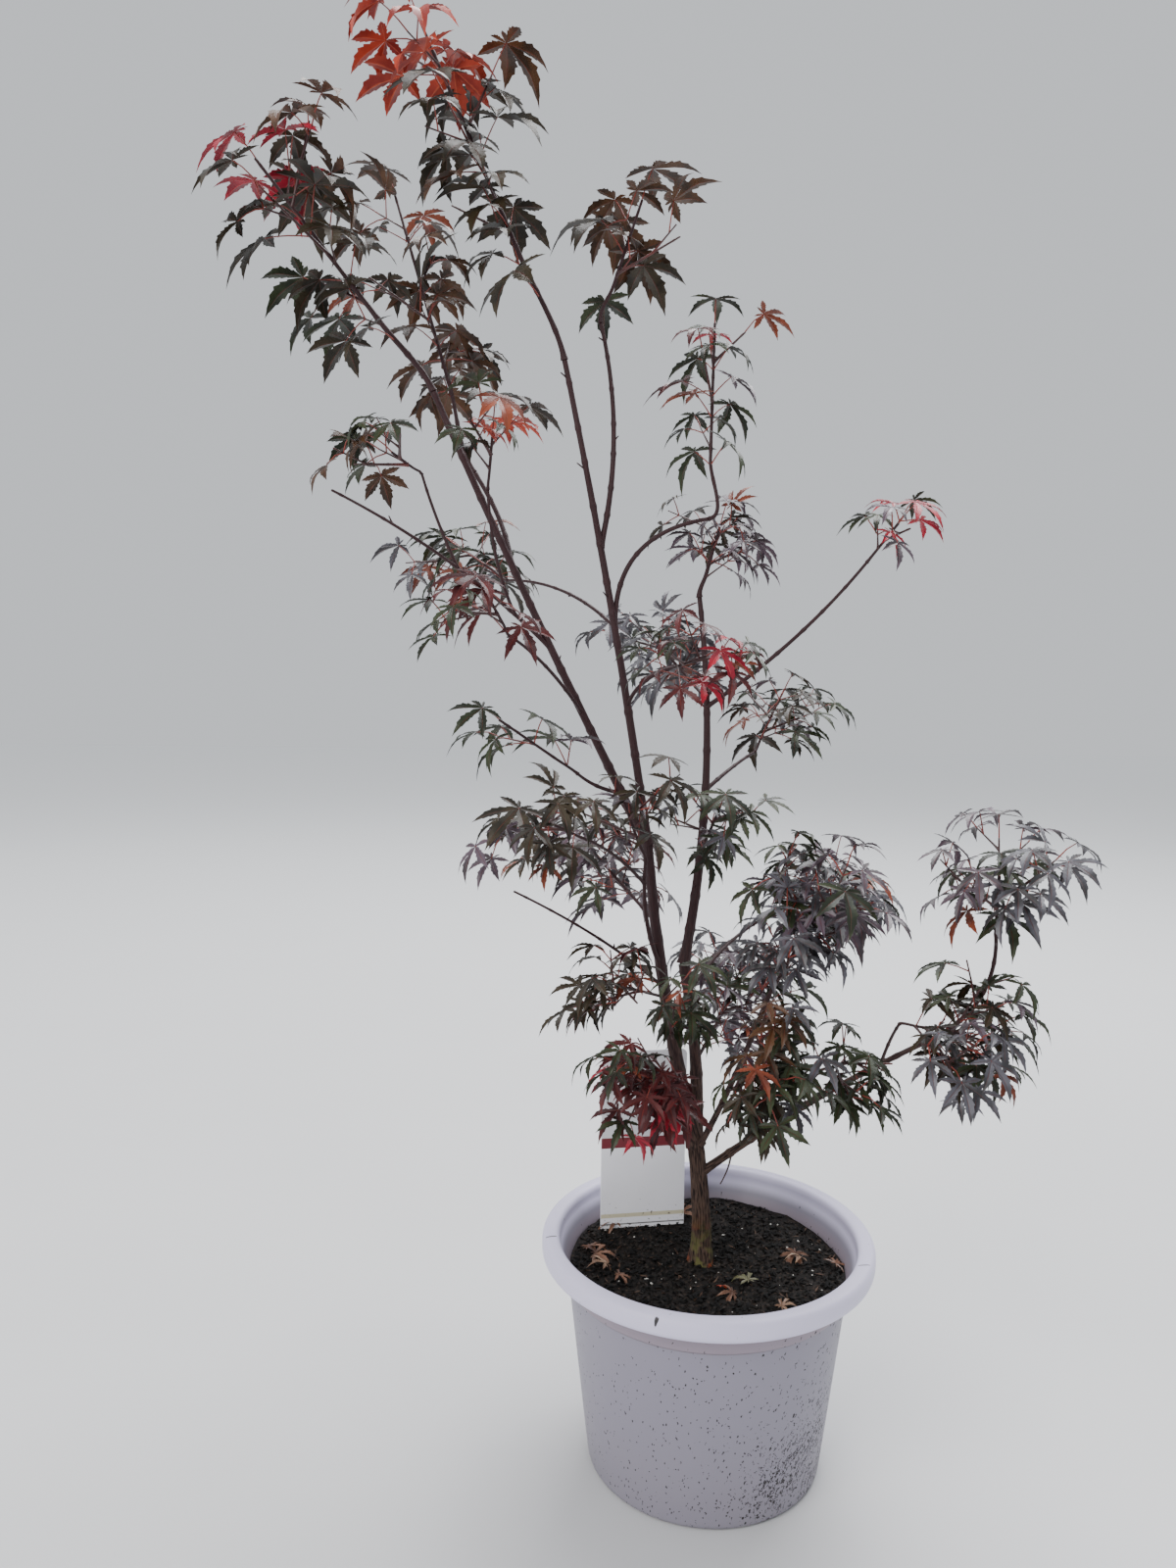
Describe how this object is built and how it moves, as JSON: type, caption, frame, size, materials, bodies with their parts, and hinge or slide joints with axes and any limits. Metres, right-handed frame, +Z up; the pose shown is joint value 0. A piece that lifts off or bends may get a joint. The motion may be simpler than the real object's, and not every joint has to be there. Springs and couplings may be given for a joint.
{
  "type": "potted japanese maple",
  "caption": "Young Japanese maple with several bare stems and masses of lobed purple leaves, standing in a round plastic patio pot with a rolled lip.",
  "frame": {"origin": "middle of the pot's flat underside", "axes": "+Z up, +X to the viewer's right, +Y away from the viewer"},
  "size_m": [0.8198, 0.5386, 1.4663],
  "materials": {
    "pot_plastic": "moulded plastic, pale grey-lilac, satin, with soil splashes",
    "potting_soil": "damp dark composted bark with chips and white grit",
    "label_plastic": "thin blank white plastic with a dark red band",
    "bark": "dark purple-brown bark, fissured near the foot",
    "olive_foliage": "dark olive-brown lobed leaves with red tips",
    "plum_foliage": "grey-purple lobed leaves with a silvery sheen",
    "crimson_foliage": "bright crimson young lobed leaves"
  },
  "bodies": {
    "root": {"pot": "pot_plastic", "soil": "potting_soil", "label": "label_plastic", "trunk": "bark", "arched_bough": "bark", "front_right_bough": "bark", "left_bare_bough": "bark", "left_cross_stem": "bark", "left_high_bough": "bark", "left_high_side": "bark", "left_leader": "bark", "left_low_reach": "bark", "left_side_stem": "bark", "left_small_bough": "bark", "left_spur": "bark", "left_stem": "bark", "left_twin": "bark", "low_right_bough": "bark", "low_right_side": "bark", "low_right_twig": "bark", "low_right_upright": "bark", "middle_leader": "bark", "middle_left_bough": "bark", "middle_right": "bark", "right_bough": "bark", "right_front_bough": "bark", "right_inner_bough": "bark", "right_leader": "bark", "right_reach": "bark", "right_stem": "bark", "twin_stem": "bark", "arched_leaves": "plum_foliage", "back_left_leaves": "plum_foliage", "back_middle_leaves": "plum_foliage", "back_right_leaves": "plum_foliage", "front_left_leaves": "crimson_foliage", "front_right_leaves": "plum_foliage", "left_bare_side_leaves": "plum_foliage", "left_cross_leaves": "olive_foliage", "left_hanging_leaves": "plum_foliage", "left_high_side_leaves": "olive_foliage", "left_low_reach_leaves": "plum_foliage", "left_side_leaves": "plum_foliage", "left_small_leaves": "plum_foliage", "left_spur_leaves": "plum_foliage", "left_top_leaves": "olive_foliage", "left_twin_leaves": "olive_foliage", "low_right_side_leaves": "plum_foliage", "low_right_twig_leaves": "plum_foliage", "low_right_upright_leaves": "plum_foliage", "middle_left_leaves": "plum_foliage", "middle_right_leaves": "crimson_foliage", "middle_top_leaves": "olive_foliage", "right_bough_leaves": "plum_foliage", "right_front_leaves": "plum_foliage", "right_inner_leaves": "plum_foliage", "right_leader_leaves": "plum_foliage", "right_reach_leaves": "crimson_foliage", "right_spur_leaves": "plum_foliage", "twin_leaves": "olive_foliage"}
  },
  "joints": []
}
